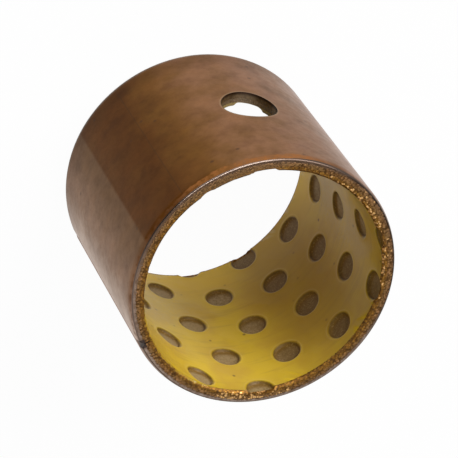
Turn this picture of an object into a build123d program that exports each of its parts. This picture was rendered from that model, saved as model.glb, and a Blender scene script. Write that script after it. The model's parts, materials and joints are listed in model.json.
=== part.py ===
from build123d import *
import os
from math import ceil, cos, pi, radians, sin, tan

# Wrapped composite bushing: a strip of copper-plated steel, sintered bronze and acetal,
# embossed flat, then rolled into a sleeve with a butt joint, turned at the ends and drilled.
# +Z runs along the bore, up from the end that the sleeve stands on.
# +X points out of the oil hole. Lengths are in millimetres and angles in degrees.

# The sleeve
bore_diameter = 25.0
sleeve_length = 25.0

# The three bonded layers of the wall, from the outside in
steel_thickness = 0.70
bronze_thickness = 0.45
lining_thickness = 0.35

# Turned ends: a long shallow lead-in outside, a short 45 degree break inside
lead_in_length = 0.65
lead_in_angle = 20.0
bore_break = 0.20

# Butt joint where the strip's ends meet. The shear rolled the outer edges over, so it flares outwards.
joint_angle = 120.0
joint_gap = 0.12
joint_flare_width = 0.50
joint_flare_depth = 0.60

# Oil hole, drilled straight through the wall
oil_hole_diameter = 5.8
oil_hole_height = 12.8

# Grease pockets, embossed in staggered rows that run askew along the flat strip.
# The first one is placed from the strip's cut end and from its lower edge. None is near the joint.
pocket_diameter = 3.05
pocket_floor_film = 0.05
pocket_pitch = 6.92
pocket_row_spacing = 6.15
pocket_row_angle = 15.85
pocket_first_along = 27.85
pocket_first_height = 21.75
pocket_joint_margin = 3.5

bore_radius = bore_diameter / 2
bronze_inside = bore_radius + lining_thickness
steel_inside = bronze_inside + bronze_thickness
outer_radius = steel_inside + steel_thickness
# Bending leaves the middle of the steel as long as the flat strip was.
neutral_radius = (steel_inside + outer_radius) / 2
strip_length = 2 * pi * neutral_radius - joint_gap
pocket_floor = bronze_inside - pocket_floor_film


def joint_opening():
    """Plan of the joint: a narrow gap through the wall, flared where it comes out of the steel."""
    gap = Pos(outer_radius, 0) * Rectangle(2 * outer_radius, joint_gap)
    throat = (outer_radius - joint_flare_depth, joint_gap / 2)
    mouth = joint_gap / 2 + joint_flare_width
    side = [throat, (outer_radius, mouth), (2 * outer_radius, mouth)]
    other_side = [(x, -y) for x, y in reversed(side)]
    return gap + make_face(Polyline(side + other_side, close=True))


def wrapped_layer(inside, outside):
    """One layer of the strip, rolled into a ring that is open at the joint."""
    plan = Circle(outside) - Circle(inside) - joint_opening()
    return Rot(0, 0, joint_angle) * extrude(plan, sleeve_length)


def edge_cut(radius, height, radial_step, axial_step):
    """Ring-shaped tool that bevels the round edge at this radius and height."""
    edge = Vector(radius, height)
    on_face = edge + Vector(radial_step, 0)
    on_wall = edge + Vector(0, axial_step)
    past = on_wall - on_face
    outside = edge * 2 - (on_face + on_wall) * 0.5
    section = make_face(Polyline(on_face - past, on_wall + past, outside, close=True))
    return revolve(Plane.XZ * section)


def end_cuts():
    """The lead-in and the break of the bore's edge, at both ends."""
    lead_in_depth = lead_in_length * tan(radians(lead_in_angle))
    cuts = []
    for height, inward in ((0, 1), (sleeve_length, -1)):
        cuts.append(edge_cut(outer_radius, height, -lead_in_depth, inward * lead_in_length))
        cuts.append(edge_cut(bore_radius, height, bore_break, inward * bore_break))
    return cuts


def oil_hole():
    """The drill's path through one side of the wall."""
    drill = Cylinder(oil_hole_diameter / 2, outer_radius, align=(Align.CENTER, Align.CENTER, Align.MIN))
    return Pos(bore_radius / 2, 0, oil_hole_height) * Rot(0, 90, 0) * drill


def pocket_places():
    """Each pocket's centre on the flat strip: along it from the cut end, and up it."""
    reach = pocket_diameter / 2
    rows = ceil((strip_length + sleeve_length) / pocket_row_spacing)
    columns = ceil((strip_length + sleeve_length) / pocket_pitch)
    run, rise = cos(radians(pocket_row_angle)), sin(radians(pocket_row_angle))
    places = []
    for row in range(-rows, rows + 1):
        for column in range(-columns, columns + 1):
            forward = (column + (row % 2) / 2) * pocket_pitch
            across = row * pocket_row_spacing
            along = pocket_first_along + forward * run - across * rise
            height = pocket_first_height + forward * rise + across * run
            clear_of_joint = pocket_joint_margin < along < strip_length - pocket_joint_margin
            if clear_of_joint and -reach < height < sleeve_length + reach:
                places.append((along, height))
    return places


def pocket_outline():
    """One pocket's outline: round in the flat strip, drawn narrower round the bore by the wrap."""
    tall = pocket_diameter / 2
    wide = tall * bore_radius / neutral_radius
    return make_face([ThreePointArc((-tall, 0), (0, side * wide), (tall, 0)) for side in (-1, 1)])


def pocket_cut(along, height):
    """Tool for one pocket, which reaches out from the axis through the lining."""
    angle = radians(joint_angle) + (along + joint_gap / 2) / neutral_radius
    facing = Plane((0, 0, height), x_dir=(0, 0, 1), z_dir=(cos(angle), sin(angle), 0))
    return facing * extrude(pocket_outline(), outer_radius)


def pocket_cuts():
    """All pockets, down to one floor that is round with the bore."""
    floor = Pos(0, 0, sleeve_length / 2) * Cylinder(pocket_floor, 2 * sleeve_length)
    return [pocket_cut(along, height) & floor for along, height in pocket_places()]


def steel_shell():
    return wrapped_layer(steel_inside, outer_radius) - end_cuts() - oil_hole()


def bronze_layer():
    return wrapped_layer(bronze_inside, steel_inside) - end_cuts() - oil_hole()


def acetal_lining():
    lining = wrapped_layer(bore_radius, bronze_inside) - end_cuts() - oil_hole()
    return lining - pocket_cuts()


os.makedirs("parts", exist_ok=True)
for name, make in (
    ("steel_shell", steel_shell),
    ("bronze_layer", bronze_layer),
    ("acetal_lining", acetal_lining),
):
    export_step(make(), f"parts/{name}.step")
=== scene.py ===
# %% [markdown]
# # A wrapped composite bushing
# A plain bearing for a shaft. A strip of copper-coated steel carries a thin layer of sintered
# bronze and a lining of yellow acetal. Grease pockets are pressed into the lining while the strip
# is flat. Then the strip is rolled up until its ends meet in a butt joint, its ends are turned and
# an oil hole is drilled.
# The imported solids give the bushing's main sizes. Here each of the three layers is made again with
# finer edges and pockets, and gets its finish.

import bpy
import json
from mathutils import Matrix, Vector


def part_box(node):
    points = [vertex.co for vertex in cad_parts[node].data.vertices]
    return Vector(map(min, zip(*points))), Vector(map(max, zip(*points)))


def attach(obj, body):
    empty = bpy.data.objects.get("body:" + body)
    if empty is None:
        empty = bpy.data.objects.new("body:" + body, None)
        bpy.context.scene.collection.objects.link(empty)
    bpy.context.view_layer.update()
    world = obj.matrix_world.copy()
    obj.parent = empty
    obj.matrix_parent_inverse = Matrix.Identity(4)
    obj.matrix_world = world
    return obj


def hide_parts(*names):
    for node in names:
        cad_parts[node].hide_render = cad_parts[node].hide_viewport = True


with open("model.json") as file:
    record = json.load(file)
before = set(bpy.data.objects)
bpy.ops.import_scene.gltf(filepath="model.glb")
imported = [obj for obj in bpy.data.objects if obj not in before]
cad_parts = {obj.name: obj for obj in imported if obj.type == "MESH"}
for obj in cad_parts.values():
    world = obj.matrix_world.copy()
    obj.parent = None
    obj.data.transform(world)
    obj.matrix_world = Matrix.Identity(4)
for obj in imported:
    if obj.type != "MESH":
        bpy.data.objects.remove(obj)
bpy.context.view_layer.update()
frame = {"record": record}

# %% Modules
import json
from math import ceil, cos, pi, radians, sin

import bmesh
import bpy
from mathutils import Matrix, Vector, noise

# %% [markdown]
# ## Sizes
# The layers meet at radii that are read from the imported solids, so the new pieces can't drift
# from them. Everything is modelled in millimetres, because the numbers are easier to read, and
# each piece is brought to metres once, when it is finished.

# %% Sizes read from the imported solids, in millimetres
MM_PER_M = 1000
mounts = {mount["name"]: mount for mount in frame["record"]["mounts"]}
bore_radius = mounts["bore"]["dims"]["r_mm"]
lining_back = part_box("acetal_lining")[1].x * MM_PER_M
bronze_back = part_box("bronze_layer")[1].x * MM_PER_M
outer_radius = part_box("steel_shell")[1].x * MM_PER_M
sleeve_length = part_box("steel_shell")[1].z * MM_PER_M
hole_radius = mounts["oil_hole"]["dims"]["r_mm"]
hole_height = mounts["oil_hole"]["pos_m"][2] * MM_PER_M
radii = (bore_radius, lining_back, bronze_back, outer_radius)
print("radii:", [round(radius, 3) for radius in radii])

# %% Sizes of the strip, its joint and its turned ends, in millimetres and degrees
joint_angle = 120.0
joint_gap = 0.12
joint_flare_width = 0.50
joint_flare_depth = 0.60
lead_in_length = 0.65
lead_in_depth = 0.237
bore_break = 0.20
neutral_radius = (bronze_back + outer_radius) / 2
strip_length = 2 * pi * neutral_radius - joint_gap
print("flat strip:", round(strip_length, 2), "by", round(sleeve_length, 2), "mm")

# %% [markdown]
# ## Rolling up
# A point of the flat strip is given by how far it lies along the strip, how high up it is, and
# how deep it lies behind the bore's surface. Rolling keeps the height, turns the length along the
# strip into an angle, and turns the depth into a radius.

# %% Roll flat work up around the bore


def strip_angle(along):
    """Angle about the bore, in radians, of a point this far along the flat strip."""
    return radians(joint_angle) + (along + joint_gap / 2) / neutral_radius


def roll_up(bm):
    """Turn x along the strip, y up it and z outwards from the bore's surface into a sleeve."""
    for vert in bm.verts:
        along, height, depth = vert.co
        angle, radius = strip_angle(along), bore_radius + depth
        vert.co = (radius * cos(angle), radius * sin(angle), height)


# %% [markdown]
# ## Finishing a piece
# Every piece ends the same way. Its faces are turned outwards, it is brought to metres, and edges
# that bend by more than a set angle stay sharp while the rest is shaded smooth. Then it is attached
# to the body it rides on and given its material, and the imported solid it stands for is hidden.

# %% Make a mesh and an object


def mesh_from(bm, name):
    """The mesh of this bmesh, which is then done with."""
    mesh = bpy.data.meshes.new(name)
    bm.to_mesh(mesh)
    bm.free()
    return mesh


def new_object(name, data):
    """An object in the scene with this mesh, lamp or camera."""
    made = bpy.data.objects.new(name, data)
    bpy.context.scene.collection.objects.link(made)
    return made


# %% Finish a piece
smooth_angle = 35
# each layer's material by the layer's name, filled in as the finishes are made
finishes = {}


def finish_piece(bm, name, slot):
    """Make the object of a finished mesh and hand it to the frame."""
    bmesh.ops.recalc_face_normals(bm, faces=bm.faces[:])
    bmesh.ops.scale(bm, vec=Vector((1, 1, 1)) / MM_PER_M, verts=bm.verts[:])
    mesh = mesh_from(bm, name)
    mesh.shade_smooth()
    mesh.set_sharp_from_angle(angle=radians(smooth_angle))
    piece = new_object(name, mesh)
    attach(piece, "root")
    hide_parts(slot)
    piece.data.materials.append(finishes[slot])
    triangles = sum(len(face.vertices) - 2 for face in mesh.polygons)
    print(name, "has", triangles, "triangles")
    return piece


# %% [markdown]
# ## The oil hole
# The hole is drilled after rolling, so it is round when looked at along the drill, and its wall
# is straight through all three layers. The same cylinder is the drill for all of them. A boolean
# modifier takes it away from each layer, and the result replaces the layer's mesh.

# %% The drill
hole_sides = 96


def make_drill():
    """A cylinder that reaches out from the axis, in millimetres, along +X."""
    bm = bmesh.new()
    bmesh.ops.create_cone(
        bm, cap_ends=True, segments=hole_sides, radius1=hole_radius, radius2=hole_radius,
        depth=outer_radius,
    )
    turned = Matrix.Rotation(pi / 2, 4, "Y")
    place = Matrix.Translation((outer_radius, 0, hole_height))
    bmesh.ops.transform(bm, matrix=place @ turned, verts=bm.verts[:])
    return new_object("drill", mesh_from(bm, "drill"))


def drilled(bm):
    """The same mesh with the oil hole cut through it."""
    mesh = bpy.data.meshes.new("undrilled")
    bm.to_mesh(mesh)
    work = new_object("undrilled", mesh)
    drill = make_drill()
    cut = work.modifiers.new("oil_hole", "BOOLEAN")
    cut.operation, cut.solver, cut.object = "DIFFERENCE", "EXACT", drill
    evaluated = work.evaluated_get(bpy.context.evaluated_depsgraph_get())
    bm.clear()
    bm.from_mesh(evaluated.to_mesh())
    for spent in (work, drill):
        bpy.data.objects.remove(spent)
    return bm


print("drill:", round(2 * hole_radius, 2), "mm across, at a height of", round(hole_height, 2), "mm")

# %% [markdown]
# ## Node helpers
# The finishes are built from shader nodes. One function adds a node of any kind and links or sets
# its sockets. The helpers that use it add one node each: a sum, a ramp from one range of values to
# another, a blend of two colours, and noise. The next ones build small masks from them, and the
# last ones make node groups and materials.

# %% Colours, sockets and nodes


def colour(red, green, blue):
    """A colour written as 0-255 screen values, as the linear values that shaders use."""
    linear = []
    for value in (red, green, blue):
        value /= 255
        linear.append(value / 12.92 if value <= 0.04045 else ((value + 0.055) / 1.055) ** 2.4)
    return (*linear, 1.0)


def fill(tree, sockets, **values):
    """Link or set sockets, each given by its name, with _ for a space, or by number as in_0."""
    for name, value in values.items():
        socket = sockets[int(name[3:]) if name.startswith("in_") else name.replace("_", " ")]
        if isinstance(value, bpy.types.NodeSocket):
            tree.links.new(value, socket)
        else:
            socket.default_value = value


def add(tree, kind, settings=None, **inputs):
    """Add a node with these settings, and fill its inputs."""
    made = tree.nodes.new(kind)
    for name, value in (settings or {}).items():
        setattr(made, name, value)
    fill(tree, made.inputs, **inputs)
    return made


# %% Helpers that add one node


def maths(tree, operation, first, second=0.0):
    """The output of one Math node."""
    return add(tree, "ShaderNodeMath", {"operation": operation}, in_0=first, in_1=second).outputs[0]


def vector_maths(tree, operation, first, **inputs):
    """The outputs of one Vector Math node."""
    return add(tree, "ShaderNodeVectorMath", {"operation": operation}, in_0=first, **inputs).outputs


def ramp(tree, value, low, high, to_low=0.0, to_high=1.0, smooth=True):
    """A value carried from one range to another, held at the ends."""
    settings = {"interpolation_type": "SMOOTHSTEP" if smooth else "LINEAR"}
    return add(
        tree, "ShaderNodeMapRange", settings,
        Value=value, From_Min=low, From_Max=high, To_Min=to_low, To_Max=to_high,
    ).outputs["Result"]


def mix(tree, factor, first, second, blend="MIX"):
    """Two colours blended by a factor."""
    settings = {"data_type": "RGBA", "blend_type": blend}
    return add(tree, "ShaderNodeMix", settings, in_0=factor, in_6=first, in_7=second).outputs[2]


def noise_at(tree, vector, scale, detail=2.0, roughness=0.5):
    """Soft noise from 0 to 1, as a value."""
    return add(
        tree, "ShaderNodeTexNoise", Vector=vector, Scale=scale, Detail=detail, Roughness=roughness,
    ).outputs["Fac"]


def cells_at(tree, vector, scale):
    """The outputs of a pattern of random cells."""
    return add(tree, "ShaderNodeTexVoronoi", Vector=vector, Scale=scale, Randomness=1.0).outputs


def stretched(tree, vector, scale):
    """The vector divided axis by axis, so that a pattern read from it is stretched."""
    settings = {"vector_type": "TEXTURE"}
    return add(tree, "ShaderNodeMapping", settings, Vector=vector, Scale=scale).outputs[0]


# %% Helpers for small masks


def times(tree, first, second):
    """The product of two values."""
    return maths(tree, "MULTIPLY", first, second)


def total(tree, first, *others):
    """The sum of two values or more."""
    for other in others:
        first = maths(tree, "ADD", first, other)
    return first


def minus(tree, first, second):
    """What is left of the first value."""
    return maths(tree, "SUBTRACT", first, second)


def larger(tree, first, second):
    """The larger of two values, which also joins two masks."""
    return maths(tree, "MAXIMUM", first, second)


def slant(tree, first, second):
    """The straight distance that two distances at right angles make."""
    squares = total(tree, maths(tree, "POWER", first, 2), maths(tree, "POWER", second, 2))
    return maths(tree, "SQRT", squares)


def between(tree, value, rise, fall):
    """1 between two soft edges, each given by where it starts and where it ends, and 0 beyond."""
    return times(tree, ramp(tree, value, *rise), ramp(tree, value, *fall, 1.0, 0.0))


def beyond(tree, value, fall, rise):
    """0 between two soft edges, each given by where it starts and where it ends, and 1 beyond."""
    return larger(tree, ramp(tree, value, *fall, 1.0, 0.0), ramp(tree, value, *rise))


def within(tree, value, full, gone, amount=1.0):
    """This amount where the value is small, falling off from full to gone."""
    return ramp(tree, value, full, gone, amount, 0.0)


# %% Helpers for node groups and materials


def new_group(name, inputs, outputs):
    """A shader node group with named sockets; returns it with its input and output nodes."""
    group = bpy.data.node_groups.new(name, "ShaderNodeTree")
    for direction, sockets in (("INPUT", inputs), ("OUTPUT", outputs)):
        for socket_name, kind in sockets:
            socket_type = "NodeSocket" + kind
            group.interface.new_socket(name=socket_name, in_out=direction, socket_type=socket_type)
    given = group.nodes.new("NodeGroupInput").outputs
    result = group.nodes.new("NodeGroupOutput").inputs
    return group, given, result


def use_group(tree, group, **inputs):
    """The outputs of a node group placed in a material."""
    return add(tree, "ShaderNodeGroup", {"node_tree": group}, **inputs).outputs


def new_material(name):
    """A material with its Principled BSDF, and the object coordinates it reads."""
    material = bpy.data.materials.new(name)
    material.use_nodes = True
    tree = material.node_tree
    position = tree.nodes.new("ShaderNodeTexCoord").outputs["Object"]
    return material, tree, tree.nodes["Principled BSDF"], position


def add_bump(tree, shader, strength, relief, height):
    """Bump with a relief of this many millimetres."""
    bump = add(tree, "ShaderNodeBump", Strength=strength, Distance=relief / MM_PER_M, Height=height)
    fill(tree, shader.inputs, Normal=bump.outputs["Normal"])


# %% [markdown]
# ## Strip coordinates
# Rolling marks, stains and turning marks follow the strip, so every finish reads them in the
# strip's own directions, unrolled in millimetres: along the strip from the joint, up it, and the
# radius. The one place where the unrolled pattern breaks is the joint itself, as on the real one.

# %% Group: from object coordinates to strip coordinates
strip_group, given, result = new_group(
    "strip_coordinates",
    [("Position", "Vector")],
    [("Strip", "Vector"), ("Along", "Float"), ("Height", "Float"), ("Radius", "Float")],
)
tree = strip_group
from_joint = add(
    tree, "ShaderNodeVectorRotate", {"rotation_type": "Z_AXIS"},
    Vector=given["Position"], Angle=pi - radians(joint_angle),
).outputs[0]
axes = add(tree, "ShaderNodeSeparateXYZ", Vector=from_joint).outputs
turn = maths(tree, "ARCTAN2", axes[1], axes[0])
along = times(tree, total(tree, turn, pi), neutral_radius)
height = times(tree, axes[2], MM_PER_M)
radius = times(tree, slant(tree, axes[0], axes[1]), MM_PER_M)
strip = add(tree, "ShaderNodeCombineXYZ", X=along, Y=height, Z=radius).outputs[0]
fill(tree, result, Strip=strip, Along=along, Height=height, Radius=radius)
print("strip_coordinates group:", len(tree.nodes), "nodes")

# %% [markdown]
# ## Sintered grains
# The bronze is powder, melted together just enough to hold. Where the ends were turned it shows
# as coppery grains with dark pores between them, and a few grains carry a painted golden glint.
# The turning also drags grains over the layers beside it, so all three finishes use this group.
# Random cells make the grains, and a little noise bends their borders. Each cell's own random
# colour gives the grain its shade and says whether it gets a painted glint. The ring is yellower
# towards the bore, browner towards the steel, and greyer and calmer towards one side.

# %% Group: grains of sintered bronze, with sizes and radii in millimetres
grain_size = 0.23
grain_bend = 0.22
yellow_to_coppery = (12.85, 13.20)
coppery_to_brown = (13.30, 13.60)
calm_towards = (cos(radians(25)), sin(radians(25)), 0.0)
dark_grain, light_grain = colour(116, 79, 45), colour(182, 136, 88)
dark_bore_grain, light_bore_grain = colour(110, 72, 26), colour(164, 118, 48)
olive_patch = colour(140, 110, 70)
grain_by_steel = colour(138, 104, 76)
pore = colour(88, 61, 33)
calm_grain = colour(128, 100, 72)
# colour of a painted glint on a grain
painted_glint_colour = colour(236, 186, 120)

grain_group, given, result = new_group(
    "sintered_grains",
    [("Position", "Vector"), ("Radius", "Float"), ("Glint", "Float")],
    [("Color", "Color"), ("Height", "Float"), ("Glints", "Float")],
)
tree = grain_group
in_mm = vector_maths(tree, "SCALE", given["Position"], Scale=float(MM_PER_M))[0]
wobble = add(tree, "ShaderNodeTexNoise", Vector=in_mm, Scale=4.0, Detail=2.0).outputs["Color"]
wobble = vector_maths(tree, "SCALE", wobble, Scale=grain_bend)[0]
bent = vector_maths(tree, "ADD", in_mm, in_1=wobble)[0]
grains = cells_at(tree, bent, 1 / grain_size)
dice = add(tree, "ShaderNodeSeparateColor", Color=grains["Color"]).outputs
body = ramp(tree, grains["Distance"], 0.32, 0.95, 1.0, 0.0)
patches = noise_at(tree, in_mm, 1.3, detail=3)
coppery = mix(tree, dice[0], dark_grain, light_grain)
coppery = mix(tree, ramp(tree, patches, 0.38, 0.62, 0.0, 0.7), coppery, olive_patch)
yellowish = mix(tree, dice[0], dark_bore_grain, light_bore_grain)
coppery = mix(tree, ramp(tree, given["Radius"], *yellow_to_coppery), yellowish, coppery)
coppery = mix(tree, ramp(tree, given["Radius"], *coppery_to_brown, 0.0, 0.8), coppery, grain_by_steel)
coppery = mix(tree, body, pore, coppery)
towards_calm = vector_maths(tree, "DOT_PRODUCT", in_mm, in_1=calm_towards)["Value"]
shade = mix(tree, ramp(tree, towards_calm, 11.2, 12.6, 0.0, 0.5), coppery, calm_grain)
chance = minus(tree, 1.0, given["Glint"])
# grains chosen here get a painted glint
painted_glints = times(tree, maths(tree, "GREATER_THAN", dice[1], chance), body)
fill(tree, result, Color=mix(tree, painted_glints, shade, painted_glint_colour), Height=body, Glints=painted_glints)
print("sintered_grains group:", len(tree.nodes), "nodes")

# %% [markdown]
# ## Turned ends
# This group says where the grains were dragged to. Into the bore they reach a ragged fraction of a
# millimetre, and less beside the joint. Across the end face they reach out to the steel, farthest
# on one stretch. The group also says how many grains get a painted glint: they do on two arcs of
# the ring, on the first of them outside the broken edge, and on the second of them towards the bore.

# %% Group: where turning smeared bronze grains over the ends, and where grains get painted glints, in millimetres
bore_smear = 0.24
joint_holds_back = 0.22
face_smear = 13.60
narrow_by = 0.24
smear_wander = 0.162
near_joint_edges = (9.0, 12.0), (80.0, 83.0)
wide_smear_edges = (29.0, 35.0), (46.0, 54.0)
# the two arcs where grains get painted glints
first_glint_arc_edges = (9.5, 13.5), (17.0, 21.0)
second_glint_arc_edges = (33.5, 37.5), (48.5, 52.5)
painted_glint_share = 0.32

smear_group, given, result = new_group(
    "turned_end",
    [("Strip", "Vector"), ("Along", "Float"), ("Height", "Float"), ("Radius", "Float")],
    [("From End", "Float"), ("Smear", "Float"), ("Glint", "Float")],
)
tree = smear_group
other_end = minus(tree, sleeve_length, given["Height"])
from_end = maths(tree, "MINIMUM", given["Height"], other_end)
ragged = noise_at(tree, given["Strip"], 3.2, detail=4, roughness=0.65)
wander = ramp(tree, ragged, 0.25, 0.75, -smear_wander, smear_wander, smooth=False)
near_joint = beyond(tree, given["Along"], *near_joint_edges)
from_rim = total(tree, from_end, wander, times(tree, near_joint, joint_holds_back))
on_bore = within(tree, from_rim, bore_smear, bore_smear + 0.10)
narrow = beyond(tree, given["Along"], *wide_smear_edges)
reach = total(tree, given["Radius"], wander, times(tree, narrow, narrow_by))
on_face = within(tree, reach, face_smear, face_smear + 0.12)
on_end = within(tree, from_end, 0.010, 0.020)
inside = within(tree, given["Radius"], lining_back, lining_back + 0.02)
smear = mix(tree, inside, times(tree, on_face, on_end), on_bore)
past_break = ramp(tree, given["Radius"], bore_radius + 0.20, bore_radius + 0.30, 0.3, 1.0)
by_bore = ramp(tree, given["Radius"], bore_radius + 0.25, bore_radius + 0.65, 1.0, 0.10)
first_glint_arc = times(tree, between(tree, given["Along"], *first_glint_arc_edges), past_break)
second_glint_arc = times(tree, between(tree, given["Along"], *second_glint_arc_edges), by_bore)
painted_glint = larger(tree, first_glint_arc, second_glint_arc)
fill(tree, result, From_End=from_end, Smear=smear, Glint=times(tree, painted_glint, painted_glint_share))
print("turned_end group:", len(tree.nodes), "nodes")


# %% Place the shared groups in a material


def place_groups(tree, position):
    """Strip coordinates, what the turned ends look like, and the grains."""
    strip = use_group(tree, strip_group, Position=position)
    places = {name: strip[name] for name in ("Strip", "Along", "Height", "Radius")}
    end = use_group(tree, smear_group, **places)
    grains = use_group(tree, grain_group, Position=position, Radius=strip["Radius"], Glint=end["Glint"])
    return strip, end, grains


# %% [markdown]
# ## Where the drill went through
# The drilled wall is bare in all three layers, and each of them colours it in its own way, so they
# share one mask of it. It comes from the distance to the drill's axis, on the side where the drill
# went in. A wider mask finds the burr, the thin edge that drilling left round the hole's mouth.

# %% The drilled wall and the burr round the oil hole


def hole_masks(tree, position):
    """1 on the oil hole's wall, and 1 on the thin edge round its mouth."""
    axes = add(tree, "ShaderNodeSeparateXYZ", Vector=position).outputs
    up = minus(tree, times(tree, axes[2], MM_PER_M), hole_height)
    aside = times(tree, axes[1], MM_PER_M)
    distance = slant(tree, up, aside)
    front = maths(tree, "GREATER_THAN", axes[0], 0.0)
    wall = times(tree, within(tree, distance, hole_radius + 0.02, hole_radius + 0.05), front)
    edge = times(tree, within(tree, distance, hole_radius + 0.05, hole_radius + 0.28), front)
    return wall, edge


# %% [markdown]
# ## The copper-coated steel
# The strip's coat is a thin film of copper. Broad bands run across the strip, partly tarnish and
# partly painted reflection: pinkish, brown, golden, dark brown, and beyond one sharp edge greyish
# and pale ones that are painted reflection. Over the bands lie cloudy stains, fine mottling and a
# few dark specks. One colour ramp could hold all the bands, but a blend for each keeps its own
# place and colour in sight, and the clouds can then follow the bands.

# %% Bands of tarnish and painted reflection: where each starts and is full, in millimetres along the strip, and its colour
pinkish_coat = colour(182, 152, 140)
# these bands are partly tarnish and partly painted reflection
brown_band = (46.0, 52.0), colour(147, 107, 82)
warm_band = (54.0, 59.0), colour(146, 104, 73)
golden_band = (60.5, 65.0), colour(122, 81, 36)
dark_band = (63.0, 69.3), colour(84, 47, 11)
bands = [brown_band, warm_band, golden_band, dark_band]
# beyond this sharp edge the greyish and pale bands are painted reflection
reflection_edge = (73.8, 74.2)
greyish_reflection = colour(103, 75, 52)
paler_reflection_band = (74.5, 80.0), colour(138, 106, 84)
palest_reflection_band = (79.5, 85.0), colour(206, 184, 170)
gold_clouds_from, gold_clouds_to = (46.0, 54.0), (78.0, 82.0)
gold_clouds_thin = (65.0, 69.0)
low_stain_heights = (1.5, 4.5)
scratch_along = 68.2
print("bands begin at:", [band[0] for band, _ in bands], "mm, the greyish one at", reflection_edge[0], "mm")

# %% Colours of the clouds and marks over the bands
gold_cloud = colour(112, 76, 28)
smudge_tint, pale_tint = colour(150, 122, 112), colour(225, 215, 205)
mottle_tint, low_stain_tint = colour(140, 112, 90), colour(150, 118, 104)
dark_speck, scratch_line = colour(60, 42, 34), colour(62, 42, 24)


def tarnish_and_reflection(tree, strip, mottle):
    """The coat's colour, from bands across the strip, partly painted reflection, and clouds over them."""
    clouds = noise_at(tree, strip["Strip"], 0.28, detail=4, roughness=0.55)
    smudges = noise_at(tree, strip["Strip"], 0.42, detail=4, roughness=0.55)
    wave = ramp(tree, noise_at(tree, strip["Strip"], 0.3, detail=2), 0.3, 0.7, -0.5, 0.5)
    along = total(tree, strip["Along"], wave)

    coat = pinkish_coat
    for band, band_colour in bands:
        coat = mix(tree, ramp(tree, along, *band), coat, band_colour)
    painted_reflection = greyish_reflection
    for band, band_colour in (paler_reflection_band, palest_reflection_band):
        painted_reflection = mix(tree, ramp(tree, along, *band), painted_reflection, band_colour)
    coat = mix(tree, ramp(tree, strip["Along"], *reflection_edge), coat, painted_reflection)

    gold = ramp(tree, clouds, 0.40, 0.70, 0.0, 0.50)
    gold = times(tree, gold, ramp(tree, along, *gold_clouds_thin, 1.0, 0.3))
    gold = times(tree, gold, ramp(tree, along, *gold_clouds_from))
    gold = times(tree, gold, within(tree, along, *gold_clouds_to))
    coat = mix(tree, gold, coat, gold_cloud)
    coat = mix(tree, ramp(tree, smudges, 0.46, 0.74, 0.0, 0.34), coat, smudge_tint, "MULTIPLY")
    coat = mix(tree, within(tree, smudges, 0.30, 0.50, 0.25), coat, pale_tint, "SOFT_LIGHT")
    coat = mix(tree, ramp(tree, mottle, 0.30, 0.70, 0.0, 0.14), coat, mottle_tint, "MULTIPLY")
    low_stain = within(tree, total(tree, strip["Height"], wave), *low_stain_heights, 0.3)
    coat = mix(tree, low_stain, coat, low_stain_tint, "MULTIPLY")

    specks = cells_at(tree, strip["Strip"], 0.33)["Distance"]
    coat = mix(tree, within(tree, specks, 0.03, 0.10, 0.55), coat, dark_speck)
    from_scratch = maths(tree, "ABSOLUTE", minus(tree, strip["Along"], scratch_along))
    return mix(tree, within(tree, from_scratch, 0.03, 0.09, 0.35), coat, scratch_line)


# %% [markdown]
# ## The lead-in and the bare steel
# The lead-in was turned through the tarnish, so its copper is fresher: reddish brown all round the
# near end, and brighter and wider on one stretch, where a painted highlight lies on it. Its corner
# is bare steel with a painted highlight, brightest on the same stretch, and a paler painted sheen
# beside the joint and beyond the greyish edge. The end face is bare and brownish, and paler on the
# joint's side. Each of these is a mask from the distance to the end, blended over the coat's bands
# in the order in which they were made.

# %% Fresh copper on the lead-in, bare steel at its corner and on the end face, and painted highlights on both
# on this stretch a painted highlight brightens the lead-in and its corner
highlight_stretch = (51.0, 56.0), (66.0, 70.0)
corner_highlight_from, brightest_highlight_from = (57.0, 61.0), (60.0, 63.0)
corner_narrows = (53.0, 59.0)
pale_until = (28.0, 36.0)
corner_sheen_from, pale_face_from = (72.0, 80.0), (72.0, 82.0)
fresh_copper, highlighted_copper = colour(104, 68, 42), colour(162, 104, 56)
# the corner's lighter colours are painted highlight and painted sheen; the darkest is bare steel
bare_corner, highlight_corner_colour = colour(84, 70, 62), colour(136, 120, 110)
brightest_highlight_colour = colour(180, 160, 148)
corner_sheen_by_joint, corner_sheen_beyond = colour(136, 116, 102), colour(140, 120, 108)
dark_face, light_face = colour(86, 66, 50), colour(110, 86, 68)
pale_dark_face, pale_light_face = colour(128, 104, 86), colour(172, 152, 138)


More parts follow.
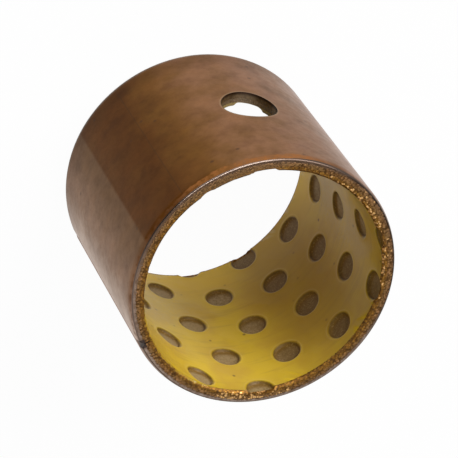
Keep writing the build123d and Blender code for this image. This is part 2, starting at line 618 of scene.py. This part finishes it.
def turned_steel(tree, strip, end, mottle, coat):
    """The coat with its fresh lead-in and bare corner, both with painted highlight, and the bare end
    face.
    """
    wander = ramp(tree, noise_at(tree, strip["Strip"], 1.3, detail=3), 0.3, 0.7, -0.15, 0.15)
    ragged_end = total(tree, end["From End"], wander)
    upper = maths(tree, "GREATER_THAN", strip["Height"], sleeve_length / 2)
    on_highlight_stretch = between(tree, strip["Along"], *highlight_stretch)
    reach = ramp(tree, on_highlight_stretch, 0.0, 1.0, 0.30, lead_in_length)
    lead_in = within(tree, minus(tree, ragged_end, reach), 0.0, 0.25)
    amount = times(tree, lead_in, ramp(tree, mottle, 0.35, 0.62, 0.15, 0.80))
    fresh = mix(tree, on_highlight_stretch, fresh_copper, highlighted_copper)
    coat = mix(tree, times(tree, amount, upper), coat, fresh)

    corner_reach = ramp(tree, strip["Along"], *corner_narrows, 0.24, 0.08)
    corner = within(tree, minus(tree, end["From End"], corner_reach), 0.0, 0.08)
    # painted highlight on the corner, brightest on the highlight stretch
    corner_highlight = times(tree, ramp(tree, strip["Along"], *corner_highlight_from), on_highlight_stretch)
    bare_and_highlight = mix(tree, times(tree, corner_highlight, upper), bare_corner, highlight_corner_colour)
    corner_brightest_highlight = times(tree, ramp(tree, strip["Along"], *brightest_highlight_from), on_highlight_stretch)
    bare_and_highlight = mix(tree, times(tree, corner_brightest_highlight, upper), bare_and_highlight, brightest_highlight_colour)
    # paler painted sheen on the corner beside the joint and beyond the greyish edge
    bare_and_highlight = mix(tree, within(tree, strip["Along"], *pale_until), bare_and_highlight, corner_sheen_by_joint)
    bare_and_highlight = mix(tree, ramp(tree, strip["Along"], *corner_sheen_from), bare_and_highlight, corner_sheen_beyond)
    coat = mix(tree, corner, coat, bare_and_highlight)

    face = within(tree, end["From End"], 0.004, 0.012)
    steel = mix(tree, ramp(tree, mottle, 0.35, 0.65), dark_face, light_face)
    pale_steel = mix(tree, ramp(tree, mottle, 0.38, 0.62), pale_dark_face, pale_light_face)
    pale_beyond = ramp(tree, strip["Along"], *pale_face_from, 0.0, 0.55)
    pale = larger(tree, pale_beyond, within(tree, strip["Along"], *pale_until))
    steel = mix(tree, pale, steel, pale_steel)
    return mix(tree, face, coat, steel)


# %% [markdown]
# ## The hole's wall and the joint's flanks
# The drill left a dull wall, darkest just under the hole's edge, and a thin bright burr round its
# mouth. Shearing left the joint's flanks bare: dark at the ends and paler further in. Both are less
# metallic than the coat, which stands for the dirt on them.

# %% The hole's wall and the joint's flanks
dark_wall, light_wall, wall_under_edge = colour(82, 65, 46), colour(108, 88, 64), colour(46, 28, 16)
burr_colour = colour(206, 178, 140)
flank_at_end, flank_further_in = colour(58, 44, 38), colour(112, 90, 76)


def hole_wall(tree, strip, mottle):
    """The colour of the steel in the hole's wall."""
    wall = mix(tree, ramp(tree, mottle, 0.35, 0.65), dark_wall, light_wall)
    under_edge = ramp(tree, strip["Radius"], outer_radius - 0.45, outer_radius - 0.10)
    return mix(tree, under_edge, wall, wall_under_edge)


def sheared_flank(tree, strip):
    """1 on the flanks of the joint, where the outside falls away beside the gap."""
    other_side = minus(tree, 2 * pi * neutral_radius, strip["Along"])
    from_joint = maths(tree, "MINIMUM", strip["Along"], other_side)
    beside = within(tree, from_joint, joint_flare_width * 0.9, joint_flare_width * 1.15)
    fallen = within(tree, strip["Radius"], outer_radius - 0.12, outer_radius - 0.03)
    return times(tree, beside, fallen)


# %% Finish: copper coat and bare steel
grain_relief = 0.06


def make_copper_coat():
    """The outside, the ends, the joint and the hole wall of the steel shell."""
    material, tree, shader, position = new_material("copper_coated_steel")
    strip, end, grains = place_groups(tree, position)
    drilled_wall, burr = hole_masks(tree, position)
    sheared = sheared_flank(tree, strip)
    mottle = noise_at(tree, strip["Strip"], 1.4, detail=5, roughness=0.7)

    coat = turned_steel(tree, strip, end, mottle, tarnish_and_reflection(tree, strip, mottle))
    coat = mix(tree, end["Smear"], coat, grains["Color"])
    coat = mix(tree, times(tree, burr, 0.25), coat, burr_colour)
    coat = mix(tree, drilled_wall, coat, hole_wall(tree, strip, mottle))
    flank = mix(tree, ramp(tree, end["From End"], 0.3, 1.2), flank_at_end, flank_further_in)
    coat = mix(tree, sheared, coat, flank)

    shader.inputs["Specular Tint"].default_value = (0.80, 0.75, 0.70, 1)
    dull = larger(tree, times(tree, drilled_wall, 0.4), times(tree, sheared, 0.6))
    metal = minus(tree, 1.0, dull)
    rough = total(tree, ramp(tree, mottle, 0.3, 0.7, 0.28, 0.38), times(tree, end["Smear"], 0.15))
    fill(tree, shader.inputs, Base_Color=coat, Metallic=metal, Roughness=rough)
    relief = total(tree, times(tree, end["Smear"], grains["Height"]), times(tree, mottle, 0.08))
    add_bump(tree, shader, 0.5, grain_relief, relief)
    return material


finishes["steel_shell"] = make_copper_coat()
print("copper coat:", len(finishes["steel_shell"].node_tree.nodes), "nodes")

# %% [markdown]
# ## The sintered bronze
# Only the end faces and a narrow band in the oil hole show. Grains cover it wherever it was turned,
# and the drill left it plain and dull.

# %% Finish: sintered bronze
plain_bronze, drilled_bronze = colour(112, 92, 78), colour(104, 86, 62)


def make_bronze():
    """The thin grainy ring between the steel and the lining."""
    material, tree, shader, position = new_material("sintered_bronze")
    strip, end, grains = place_groups(tree, position)
    drilled_wall, _ = hole_masks(tree, position)
    shade = mix(tree, end["Smear"], plain_bronze, grains["Color"])
    shade = mix(tree, times(tree, drilled_wall, 0.8), shade, drilled_bronze)
    metal = ramp(tree, drilled_wall, 0.0, 1.0, 1.0, 0.5)
    rough = ramp(tree, grains["Glints"], 0.0, 1.0, 0.5, 0.3)
    fill(tree, shader.inputs, Base_Color=shade, Metallic=metal, Roughness=rough)
    add_bump(tree, shader, 0.5, grain_relief, grains["Height"])
    return material


finishes["bronze_layer"] = make_bronze()
print("sintered bronze:", len(finishes["bronze_layer"].node_tree.nodes), "nodes")

# %% [markdown]
# ## The acetal's skin
# The plastic is yellow, smooth and a little cloudy. It has a few dark specks and faint streaks
# along the strip. Two greyish patches of painted sheen lie over it, a brown film of painted shade
# dulls a middle stretch, a brownish film lies beside the joint, and painted light keeps the far
# end the purest yellow.

# %% Colours, painted sheen, shade and light, and films of the acetal's skin, in millimetres
clear_yellow, cloudy_yellow, painted_far_light = colour(198, 167, 38), colour(186, 152, 41), colour(222, 184, 20)
skin_speck, skin_streak = colour(78, 56, 22), colour(160, 130, 44)
painted_sheen_colour, shade_and_film_brown = colour(182, 159, 98), colour(150, 116, 28)
# patches of painted sheen: along, height, half length and half height
sheen_patches = [(8.5, 8.0, 8.5, 8.0), (37.5, 12.0, 4.5, 11.0)]
# painted shade over this middle stretch, thinner higher up; a brownish film lies beside the joint
painted_shade_stretch = (19.0, 24.0), (29.0, 36.0)
brown_film_by_joint = (2.0, 8.0)
painted_shade_thins = (18.0, 24.0)
# painted light keeps the lining purest yellow over these heights near the far end
painted_far_light_heights = (2.0, 7.0)


def sheen_patch(tree, strip, along, height, half_length, half_height):
    """A soft oval mask in strip coordinates, 1 in its middle."""
    endless = 1e6
    moved = vector_maths(tree, "SUBTRACT", strip, in_1=(along, height, 0.0))[0]
    scaled = vector_maths(tree, "DIVIDE", moved, in_1=(half_length, half_height, endless))[0]
    distance = vector_maths(tree, "LENGTH", scaled)["Value"]
    return within(tree, distance, 0.25, 1.0)


def acetal_skin(tree, strip, mottle):
    """The colour of the lining between the pockets."""
    cloud = noise_at(tree, strip["Strip"], 0.25, detail=3)
    skin = mix(tree, ramp(tree, cloud, 0.35, 0.65), clear_yellow, cloudy_yellow)
    specks = cells_at(tree, strip["Strip"], 0.55)
    chosen = add(tree, "ShaderNodeSeparateColor", Color=specks["Color"]).outputs[0]
    dots = within(tree, specks["Distance"], 0.05, 0.14, 0.75)
    skin = mix(tree, times(tree, dots, maths(tree, "GREATER_THAN", chosen, 0.50)), skin, skin_speck)
    along_strip = stretched(tree, strip["Strip"], (7.0, 0.6, 1.0))
    streaks = noise_at(tree, along_strip, 1.0, detail=3, roughness=0.6)
    skin = mix(tree, ramp(tree, streaks, 0.52, 0.66, 0.0, 0.30), skin, skin_streak)
    skin = mix(tree, within(tree, strip["Height"], *painted_far_light_heights, 0.6), skin, painted_far_light)

    # painted sheen in two patches
    sheen = larger(tree, *[sheen_patch(tree, strip["Strip"], *patch) for patch in sheen_patches])
    sheen = times(tree, sheen, ramp(tree, mottle, 0.3, 0.6, 0.0, 0.5))
    skin = mix(tree, sheen, skin, painted_sheen_colour)
    # painted shade on the middle stretch, joined by the brownish film beside the joint
    shade_and_film = between(tree, strip["Along"], *painted_shade_stretch)
    shade_and_film = times(tree, shade_and_film, ramp(tree, strip["Height"], *painted_shade_thins, 1.0, 0.4))
    by_joint = within(tree, strip["Along"], *brown_film_by_joint, 0.8)
    shade_and_film = larger(tree, shade_and_film, by_joint)
    return mix(tree, times(tree, shade_and_film, 0.65), skin, shade_and_film_brown)


# %% [markdown]
# ## The pockets' floors
# The punch left the floors rough, and they hold old grease, so they look greyish brown. Each floor
# is painted lighter round a spot a little above its middle, with a dark crescent away from it that
# is partly painted shade and partly grease. Floors beside the joint are lighter, partly painted
# light and partly cleaner, and on a middle stretch browner, partly painted shade and partly grease.
# Noise alone can't find the pockets, so the mesh tells the material where they are. Two distances
# are stored at each point: how far it lies outside the nearest mouth, and how far it lies from a
# spot a little above the pocket's middle.

# %% Colours of the pockets' floors, with their painted light and shade
pocket_layer = "past_pocket_mouth"
spot_layer = "from_light_spot"
crescent = (1.05, 1.80)
# floors are browner on this stretch, partly painted shade and partly grease
shaded_floor_stretch = (18.5, 21.5), (33.0, 38.0)
# floors are lighter on this stretch, partly painted light and partly cleaner
lit_floor_stretch = (12.0, 18.0)
dark_floor, light_floor = colour(132, 107, 66), colour(157, 135, 96)
lit_floor, shaded_greasy_floor = colour(146, 124, 86), colour(106, 78, 30)
# colour of the dark crescent, partly painted shade and partly grease
crescent_shade = colour(112, 82, 26)
floor_pit, floor_fleck = colour(84, 66, 34), colour(178, 158, 112)


def pocket_floor(tree, strip, mottle, from_spot):
    """The colour of a pocket's floor and wall, with painted light and shade."""
    pressed = mix(tree, ramp(tree, mottle, 0.30, 0.70), dark_floor, light_floor)
    pressed = mix(tree, within(tree, strip["Along"], *lit_floor_stretch, 0.6), pressed, lit_floor)
    shaded_greasy = between(tree, strip["Along"], *shaded_floor_stretch)
    pressed = mix(tree, times(tree, shaded_greasy, 0.75), pressed, shaded_greasy_floor)
    # dark crescent away from the painted light spot, partly painted shade and partly grease
    pressed = mix(tree, ramp(tree, from_spot, *crescent), pressed, crescent_shade)
    coarse = noise_at(tree, strip["Strip"], 5.5, detail=3, roughness=0.7)
    pressed = mix(tree, within(tree, coarse, 0.34, 0.50, 0.45), pressed, floor_pit)
    return mix(tree, ramp(tree, coarse, 0.54, 0.70, 0.0, 0.40), pressed, floor_fleck)


# %% [markdown]
# ## The whole lining
# Round each mouth runs a thin lip with a pale painted highlight, and just inside it a dark line,
# partly painted shade and partly settled grease.
# The rim of the bore is rubbed brown, and over it lie the grains that turning dragged there. Only
# those are metallic. The floors are rougher than the skin, so they don't shine.

# %% Finish: yellow acetal with greyish pocket floors, with edges in millimetres past the mouth
# the lip's pale colour is a painted highlight; the dark line is partly painted shade and partly grease
lip_highlight_edges = (0.20, 0.28), (0.30, 0.46)
shade_and_grease_edges = (-0.22, -0.06), (-0.02, 0.12)
lip_highlight_colour, shade_and_grease_colour = colour(210, 190, 112), colour(66, 48, 16)
rubbed_rim, drilled_acetal = colour(126, 96, 32), colour(122, 104, 66)


def make_acetal():
    """The lining. Two attributes of its mesh say where the pockets are."""
    material, tree, shader, position = new_material("yellow_acetal")
    strip, end, grains = place_groups(tree, position)
    past_mouth = add(tree, "ShaderNodeAttribute", {"attribute_name": pocket_layer}).outputs["Fac"]
    from_spot = add(tree, "ShaderNodeAttribute", {"attribute_name": spot_layer}).outputs["Fac"]
    mottle = noise_at(tree, strip["Strip"], 2.4, detail=4, roughness=0.7)
    drilled_wall, _ = hole_masks(tree, position)

    skin = acetal_skin(tree, strip, mottle)
    # painted highlight on the lip
    lip_highlight = between(tree, past_mouth, *lip_highlight_edges)
    skin = mix(tree, times(tree, lip_highlight, 0.15), skin, lip_highlight_colour)
    in_pocket = within(tree, past_mouth, -0.10, 0.22)
    skin = mix(tree, in_pocket, skin, pocket_floor(tree, strip, mottle, from_spot))
    # dark line of painted shade and settled grease
    shade_and_grease = between(tree, past_mouth, *shade_and_grease_edges)
    shade_and_grease = times(tree, shade_and_grease, ramp(tree, mottle, 0.35, 0.60, 0.15, 0.60))
    skin = mix(tree, shade_and_grease, skin, shade_and_grease_colour)
    skin = mix(tree, within(tree, end["From End"], 0.20, 0.40, 0.65), skin, rubbed_rim)
    skin = mix(tree, end["Smear"], skin, grains["Color"])
    skin = mix(tree, times(tree, drilled_wall, 0.85), skin, drilled_acetal)

    metal = times(tree, end["Smear"], 0.8)
    rough = total(tree, ramp(tree, past_mouth, -0.06, 0.10, 0.55, 0.30), times(tree, end["Smear"], 0.25))
    fill(tree, shader.inputs, Base_Color=skin, Metallic=metal, Roughness=rough)
    shader.inputs["IOR"].default_value = 1.48
    shader.inputs["Specular IOR Level"].default_value = 0.36
    relief = mix(tree, end["Smear"], times(tree, mottle, 0.25), grains["Height"])
    add_bump(tree, shader, 0.35, 0.05, relief)
    return material


finishes["acetal_lining"] = make_acetal()
print("yellow acetal:", len(finishes["acetal_lining"].node_tree.nodes), "nodes")

# %% [markdown]
# ## The steel shell
# A turned ring is a profile spun about an axis. The profile's corners are bevelled first, because
# a real turned corner is never perfectly sharp, and it is the small round that catches the light.
# The spin stops short of a full turn, and that leaves the butt joint. Shearing rolled the strip's
# outer edges over, so the joint flares outwards, with round lips. The spin takes finer steps there.

# %% Spin a profile into an open ring
corner_segments = 4
ring_steps = 360
ring_rows = 50


def spun_ring(corners, rounded, fine_arc=0.0, fine_steps=0):
    """Ring of this profile (radius, height), open at the joint; rounded gives corner: radius."""
    bm = bmesh.new()
    profile = [bm.verts.new((radius, 0, height)) for radius, height in corners]
    bm.faces.new(profile)
    for index, size in rounded.items():
        bmesh.ops.bevel(
            bm, geom=[profile[index]], offset=size, offset_type="OFFSET", profile=0.5,
            segments=corner_segments, affect="VERTICES", material=-1,
        )
    bmesh.ops.delete(bm, geom=bm.faces[:], context="FACES_ONLY")
    long_edges = [edge for edge in bm.edges if edge.calc_length() > sleeve_length / 2]
    bmesh.ops.subdivide_edges(bm, edges=long_edges, cuts=ring_rows)

    whole = strip_length / neutral_radius
    stages = [(fine_arc, fine_steps), (whole - 2 * fine_arc, ring_steps), (fine_arc, fine_steps)]
    geometry = bm.verts[:] + bm.edges[:]
    for angle, count in stages:
        if count:
            geometry = bmesh.ops.spin(
                bm, geom=geometry, cent=(0, 0, 0), axis=(0, 0, 1), dvec=(0, 0, 0), angle=angle,
                steps=count, use_merge=False, use_duplicate=False,
            )["geom_last"]
    bmesh.ops.holes_fill(bm, edges=[edge for edge in bm.edges if edge.is_boundary], sides=0)
    start = Matrix.Rotation(strip_angle(0), 4, "Z")
    bmesh.ops.transform(bm, matrix=start, verts=bm.verts[:])
    return bm


# %% Flare the joint
flank_curve = 1.3


def flare_joint(bm):
    """Lower each point beside the joint to the flank of the flare."""
    middle = radians(joint_angle)
    for vert in bm.verts:
        outwards = vert.co.x * cos(middle) + vert.co.y * sin(middle)
        sideways = abs(vert.co.y * cos(middle) - vert.co.x * sin(middle)) - joint_gap / 2
        if outwards > 0 and sideways < joint_flare_width:
            away = max(sideways, 0) / joint_flare_width
            flank = outer_radius - joint_flare_depth * (1 - away) ** flank_curve
            radius = vert.co.xy.length
            if radius > flank:
                vert.co.xy *= flank / radius


# %% Make the steel shell
turned_corner = 0.13
soft_corner = 0.25
flare_steps = 12


def make_steel_shell():
    """The copper-coated backing with its lead-ins, joint and oil hole."""
    face_radius = outer_radius - lead_in_depth
    corners = [
        (bronze_back, 0),
        (face_radius, 0),
        (outer_radius, lead_in_length),
        (outer_radius, sleeve_length - lead_in_length),
        (face_radius, sleeve_length),
        (bronze_back, sleeve_length),
    ]
    rounded = {1: turned_corner, 2: soft_corner, 3: soft_corner, 4: turned_corner}
    past_flare = 1.2 * joint_flare_width / outer_radius
    bm = spun_ring(corners, rounded, past_flare, flare_steps)
    flare_joint(bm)
    return finish_piece(drilled(bm), "copper_coated_shell", "steel_shell")


steel_shell = make_steel_shell()

# %% [markdown]
# ## The bronze layer
# Only its ends and a narrow band in the oil hole can be seen. It is a plain ring between the
# steel and the lining, so the same spin makes it, with sharp corners.

# %% Make the bronze layer


def make_bronze_layer():
    """The sintered layer between the steel and the lining."""
    corners = [
        (lining_back, 0),
        (bronze_back, 0),
        (bronze_back, sleeve_length),
        (lining_back, sleeve_length),
    ]
    return finish_piece(drilled(spun_ring(corners, {})), "sintered_bronze_layer", "bronze_layer")


bronze_layer = make_bronze_layer()

# %% [markdown]
# ## The pocketed lining
# The pockets sit in a regular pattern on the flat strip, so one cell of that pattern is modelled
# and repeated. A cell starts as one face with the pattern's four-cornered outline. Insets step
# inwards from it, ring by ring: flat land, a small raised lip where the punch pushed the plastic
# aside, the wall, and the floor. Beside the joint the cells stay flat. The cells are laid out side
# by side, welded, and trimmed to the strip with four cuts, and the turned ends go straight through
# some pockets. Only then does the sheet get its thickness and is rolled up.

# %% The pocket pattern, in millimetres and degrees
pocket_diameter = 3.05
pocket_depth = 0.30
pocket_pitch = 6.92
pocket_row_spacing = 6.15
pocket_row_angle = 15.85
pocket_first_along = 27.85
pocket_first_height = 21.75
pocket_joint_margin = 3.5
side_points = 10
lip_height = 0.02
# how far the painted shade and grease round a mouth sit below it, and how far the painted light spot sits
# above its middle
dark_marks_drop = 0.10
spot_rise = 0.45
far_from_pockets = 9.0

# how far each ring lies outside the pocket's mouth, and how deep it is pressed
pocket_rings = [
    (0.80, 0.0),
    (0.44, 0.0),
    (0.33, -0.5 * lip_height),
    (0.25, -lip_height),
    (0.17, -0.4 * lip_height),
    (0.09, 0.12 * pocket_depth),
    (0.00, 0.40 * pocket_depth),
    (-0.09, 0.74 * pocket_depth),
    (-0.20, 0.94 * pocket_depth),
    (-0.34, pocket_depth),
    (-0.70, pocket_depth),
    (-1.10, pocket_depth),
]
row_direction = Vector((cos(radians(pocket_row_angle)), sin(radians(pocket_row_angle))))
row_step = row_direction * pocket_pitch
across_step = row_step / 2 + Vector((-row_direction.y, row_direction.x)) * pocket_row_spacing
print("steps of the pattern:", [tuple(round(v, 2) for v in step) for step in (row_step, across_step)])

# %% Model one cell of the pattern


def cell_outline():
    """Evenly spaced points round the cell, whose middle is the pocket's."""
    corners = [
        (-row_step - across_step) / 2,
        (row_step - across_step) / 2,
        (row_step + across_step) / 2,
        (across_step - row_step) / 2,
    ]
    points = []
    for start, end in zip(corners, corners[1:] + corners[:1]):
        points += [start.lerp(end, step / side_points) for step in range(side_points)]
    return points


def make_cell(pressed):
    """A patch of flat lining, with one pocket if pressed, and the two distances stored."""
    bm = bmesh.new()
    past_mouth_layer = bm.verts.layers.float.new(pocket_layer)
    from_spot_layer = bm.verts.layers.float.new(spot_layer)
    outline = cell_outline()
    face = bm.faces.new([bm.verts.new((*point, 0)) for point in outline])
    for past_mouth, depth in pocket_rings:
        bmesh.ops.inset_individual(bm, faces=[face], thickness=0.0, depth=0.0)
        for vert in face.verts:
            vert.co.xy = vert.co.xy.normalized() * (pocket_diameter / 2 + past_mouth)
            vert.co.z = depth if pressed else 0
    bmesh.ops.poke(bm, faces=[face])
    for vert in bm.verts:
        # the dark marks round a mouth, partly painted shade and partly grease, sit a little lower than
        # the pocket, so the first distance starts from there
        from_dark_marks = (vert.co.xy + Vector((0, dark_marks_drop))).length
        vert[past_mouth_layer] = from_dark_marks - pocket_diameter / 2 if pressed else far_from_pockets
        vert[from_spot_layer] = (vert.co.xy - Vector((0, spot_rise))).length
    return mesh_from(bm, "cell")


# %% [markdown]
# ## Cutting the sheet cleanly
# A cut that passes very close to a point of the sheet would leave a sliver beside it, and slivers
# turn into faces without area once they are rolled up. So points within a hundredth of a
# millimetre of a cut count as lying on it and are moved onto it, and points that close together
# are merged. At the very end every face is split into well-shaped triangles.

# %% Lay the cells out and trim them to the strip
snap = 0.01
weld = 0.005


def trim(bm, point, normal, cut_away=True):
    """Cut the sheet along a plane, and take away what lies on the normal's side of it."""
    geometry = bm.verts[:] + bm.edges[:] + bm.faces[:]
    bmesh.ops.bisect_plane(
        bm, geom=geometry, dist=snap, plane_co=point, plane_no=normal, clear_outer=cut_away
    )
    for vert in bm.verts:
        past = (vert.co - Vector(point)).dot(Vector(normal))
        if abs(past) < 1.1 * snap:
            vert.co -= past * Vector(normal)
    bmesh.ops.remove_doubles(bm, verts=bm.verts[:], dist=snap)


def make_flat_lining():
    """The flat lining's front with all its pockets, trimmed to the strip."""
    pressed_cell, plain_cell = make_cell(True), make_cell(False)
    bm = bmesh.new()
    reach = ceil((strip_length + sleeve_length) / pocket_row_spacing)
    margin = row_step.length
    for row in range(-reach, reach + 1):
        for column in range(-reach, reach + 1):
            along = pocket_first_along + column * row_step.x + row * across_step.x
            height = pocket_first_height + column * row_step.y + row * across_step.y
            if -margin < along < strip_length + margin and -margin < height < sleeve_length + margin:
                clear = pocket_joint_margin < along < strip_length - pocket_joint_margin
                cell = pressed_cell if clear else plain_cell
                cell.transform(Matrix.Translation((along, height, 0)))
                bm.from_mesh(cell)
                cell.transform(Matrix.Translation((-along, -height, 0)))
    bmesh.ops.remove_doubles(bm, verts=bm.verts[:], dist=weld)
    trim(bm, (0, 0, 0), (-1, 0, 0))
    trim(bm, (strip_length, 0, 0), (1, 0, 0))
    trim(bm, (0, 0, 0), (0, -1, 0))
    trim(bm, (0, sleeve_length, 0), (0, 1, 0))
    return bm


# %% Break the rims of the bore
chip_size = 0.06
chips_per_mm = 2.5
break_cuts = 3


def near_end(edge):
    """Whether this edge lies past the line where the break begins, or reaches over to it."""
    from_end = [min(vert.co.y, sleeve_length - vert.co.y) for vert in edge.verts]
    return max(from_end) < bore_break + snap and min(from_end) < bore_break - snap


def break_bore_edges(bm):
    """Bevel the lining's two long edges, which become the rims of the bore, a little raggedly."""
    for height in (bore_break, sleeve_length - bore_break):
        trim(bm, (0, height, 0), (0, 1, 0), cut_away=False)
    near_ends = [edge for edge in bm.edges if near_end(edge)]
    bmesh.ops.subdivide_edges(bm, edges=near_ends, cuts=break_cuts, use_grid_fill=True)
    for vert in bm.verts:
        from_end = min(vert.co.y, sleeve_length - vert.co.y)
        if from_end < bore_break:
            chip = chip_size * noise.noise(vert.co * chips_per_mm)
            vert.co.z = max(vert.co.z, bore_break - from_end + chip)


# %% Make the lining


def make_acetal_lining():
    """The lining with its pockets, rolled up and drilled."""
    bm = make_flat_lining()
    break_bore_edges(bm)
    thick = bmesh.ops.extrude_face_region(bm, geom=bm.faces[:])["geom"]
    for vert in (item for item in thick if isinstance(item, bmesh.types.BMVert)):
        vert.co.z = lining_back - bore_radius
    roll_up(bm)
    bmesh.ops.recalc_face_normals(bm, faces=bm.faces[:])
    drilled(bm)
    bmesh.ops.triangulate(bm, faces=bm.faces[:], quad_method="BEAUTY", ngon_method="BEAUTY")
    print("lining:", sum(not edge.is_manifold for edge in bm.edges), "edges left open")
    return finish_piece(bm, "pocketed_acetal_lining", "acetal_lining")


acetal_lining = make_acetal_lining()

# %% [markdown]
# ## The floor
# The floor looks white to the camera, with a trace of its own faint shadow. For all other rays it
# is a pale grey floor lit by the lamps, with a glow that grows with the distance from the axis.
# Under the middle of the bore there is none, so that the bore stays dark, and round the bushing
# there is most, so that the metal has something light to reflect.

# %% The floor, with distances from the axis in metres
floor_half_width = 1.5
floor_grey = 0.65
white_share = 0.97
under_bore = (0.0055, 0.0095)
under_bore_share = 0.45
round_bushing = (0.0138, 0.0142)
round_bushing_share = 0.80


def white_to_camera(tree):
    """1 for camera and transmission rays, and 0 for all others."""
    rays = tree.nodes.new("ShaderNodeLightPath").outputs
    return larger(tree, rays["Is Camera Ray"], rays["Is Transmission Ray"])


def pale_floor():
    """The floor's material: a mix of matt grey and a white glow."""
    material = bpy.data.materials.new("pale_floor")
    material.use_nodes = True
    tree = material.node_tree
    tree.nodes.clear()
    matt = add(tree, "ShaderNodeBsdfDiffuse", Color=(floor_grey, floor_grey, floor_grey, 1)).outputs[0]
    white = add(tree, "ShaderNodeEmission", Color=(1, 1, 1, 1), Strength=1.0).outputs[0]
    position = tree.nodes.new("ShaderNodeTexCoord").outputs["Object"]
    from_axis = vector_maths(tree, "LENGTH", position)["Value"]
    inner_glow = ramp(tree, from_axis, *under_bore, 0.0, under_bore_share)
    outer_glow = ramp(tree, from_axis, *round_bushing, 0.0, round_bushing_share)
    glow = larger(tree, inner_glow, outer_glow)
    share = larger(tree, times(tree, white_to_camera(tree), white_share), glow)
    mixed = add(tree, "ShaderNodeMixShader", in_0=share, in_1=matt, in_2=white).outputs[0]
    add(tree, "ShaderNodeOutputMaterial", Surface=mixed)
    return material


def make_floor():
    """A wide flat floor under the bushing."""
    bm = bmesh.new()
    bmesh.ops.create_grid(bm, x_segments=8, y_segments=8, size=floor_half_width)
    plane = new_object("studio_floor", mesh_from(bm, "studio_floor"))
    plane.data.materials.append(pale_floor())
    return plane


studio_floor = make_floor()
print("floor:", [round(side, 2) for side in studio_floor.dimensions], "m")

# %% [markdown]
# ## The room and the lamps
# The room is white to the camera and nearly dark to everything else, so the lamps shape the light.
# There are four. The key shines into the bore over the near rim, and is broad, so that the lining
# has one soft bright side. A weaker one from the far side lifts the shadows, a third gives the end
# face its sheen, and a narrow strip above draws the highlight along the outside.

# %% The room
room_light = 0.06
world = bpy.data.worlds.new("studio")
bpy.context.scene.world = world
world.use_nodes = True
tree = world.node_tree
tree.nodes.clear()
room = add(tree, "ShaderNodeBackground", Color=(1, 1, 1, 1), Strength=room_light).outputs[0]
white = add(tree, "ShaderNodeBackground", Color=(1, 1, 1, 1), Strength=1.0).outputs[0]
mixed = add(tree, "ShaderNodeMixShader", in_0=white_to_camera(tree), in_1=room, in_2=white).outputs[0]
add(tree, "ShaderNodeOutputWorld", Surface=mixed)
print("room:", room_light, "of white")

# %% The lamps, with angles in degrees, sizes in metres and power in watts
lamp_distance = 0.5


def add_softbox(name, azimuth, elevation, width, tall, power):
    """A rectangular area lamp that faces the middle of the bushing's lower end."""
    lamp = bpy.data.lights.new(name, "AREA")
    lamp.shape, lamp.size, lamp.size_y, lamp.energy = "RECTANGLE", tall, width, power
    box = new_object(name, lamp)
    turn = Matrix.Rotation(radians(azimuth), 4, "Z") @ Matrix.Rotation(radians(90 - elevation), 4, "Y")
    box.matrix_world = turn @ Matrix.Translation((0, 0, lamp_distance))
    print(name, "at", [round(value, 2) for value in box.matrix_world.translation])


add_softbox("key_softbox", azimuth=-28, elevation=35, width=0.40, tall=0.43, power=3.9)
add_softbox("far_softbox", azimuth=130, elevation=58, width=0.60, tall=0.60, power=0.75)
add_softbox("face_softbox", azimuth=219, elevation=56, width=0.40, tall=0.40, power=0.36)
add_softbox("top_strip", azimuth=22, elevation=75, width=0.27, tall=0.05, power=0.40)

# %% [markdown]
# ## Camera
# A long lens looks at the near rim from above, and is rolled so that the bushing seems to lie
# on its side.

# %% The camera, with angles in degrees, the lens in millimetres and distances in metres
camera_azimuth = 38.70
camera_elevation = 56.23
camera_roll = 146.33
camera_distance = 0.28955
camera_lens = 220.3
nearest_seen = 0.01
aim_right, aim_up = 0.000256, -0.000356

camera_data = bpy.data.cameras.new("camera")
camera_data.lens = camera_lens
camera_data.clip_start = nearest_seen
camera = new_object("camera", camera_data)
facing = (
    Matrix.Rotation(radians(camera_azimuth + 90), 4, "Z")
    @ Matrix.Rotation(radians(90 - camera_elevation), 4, "X")
    @ Matrix.Rotation(radians(camera_roll), 4, "Z")
)
middle = Matrix.Translation((0, 0, sleeve_length / 2 / MM_PER_M))
camera.matrix_world = middle @ facing @ Matrix.Translation((aim_right, aim_up, camera_distance))
bpy.context.scene.camera = camera
print("camera at", [round(value, 4) for value in camera.matrix_world.translation])

# %% Colours as written
bpy.context.scene.view_settings.view_transform = "Standard"
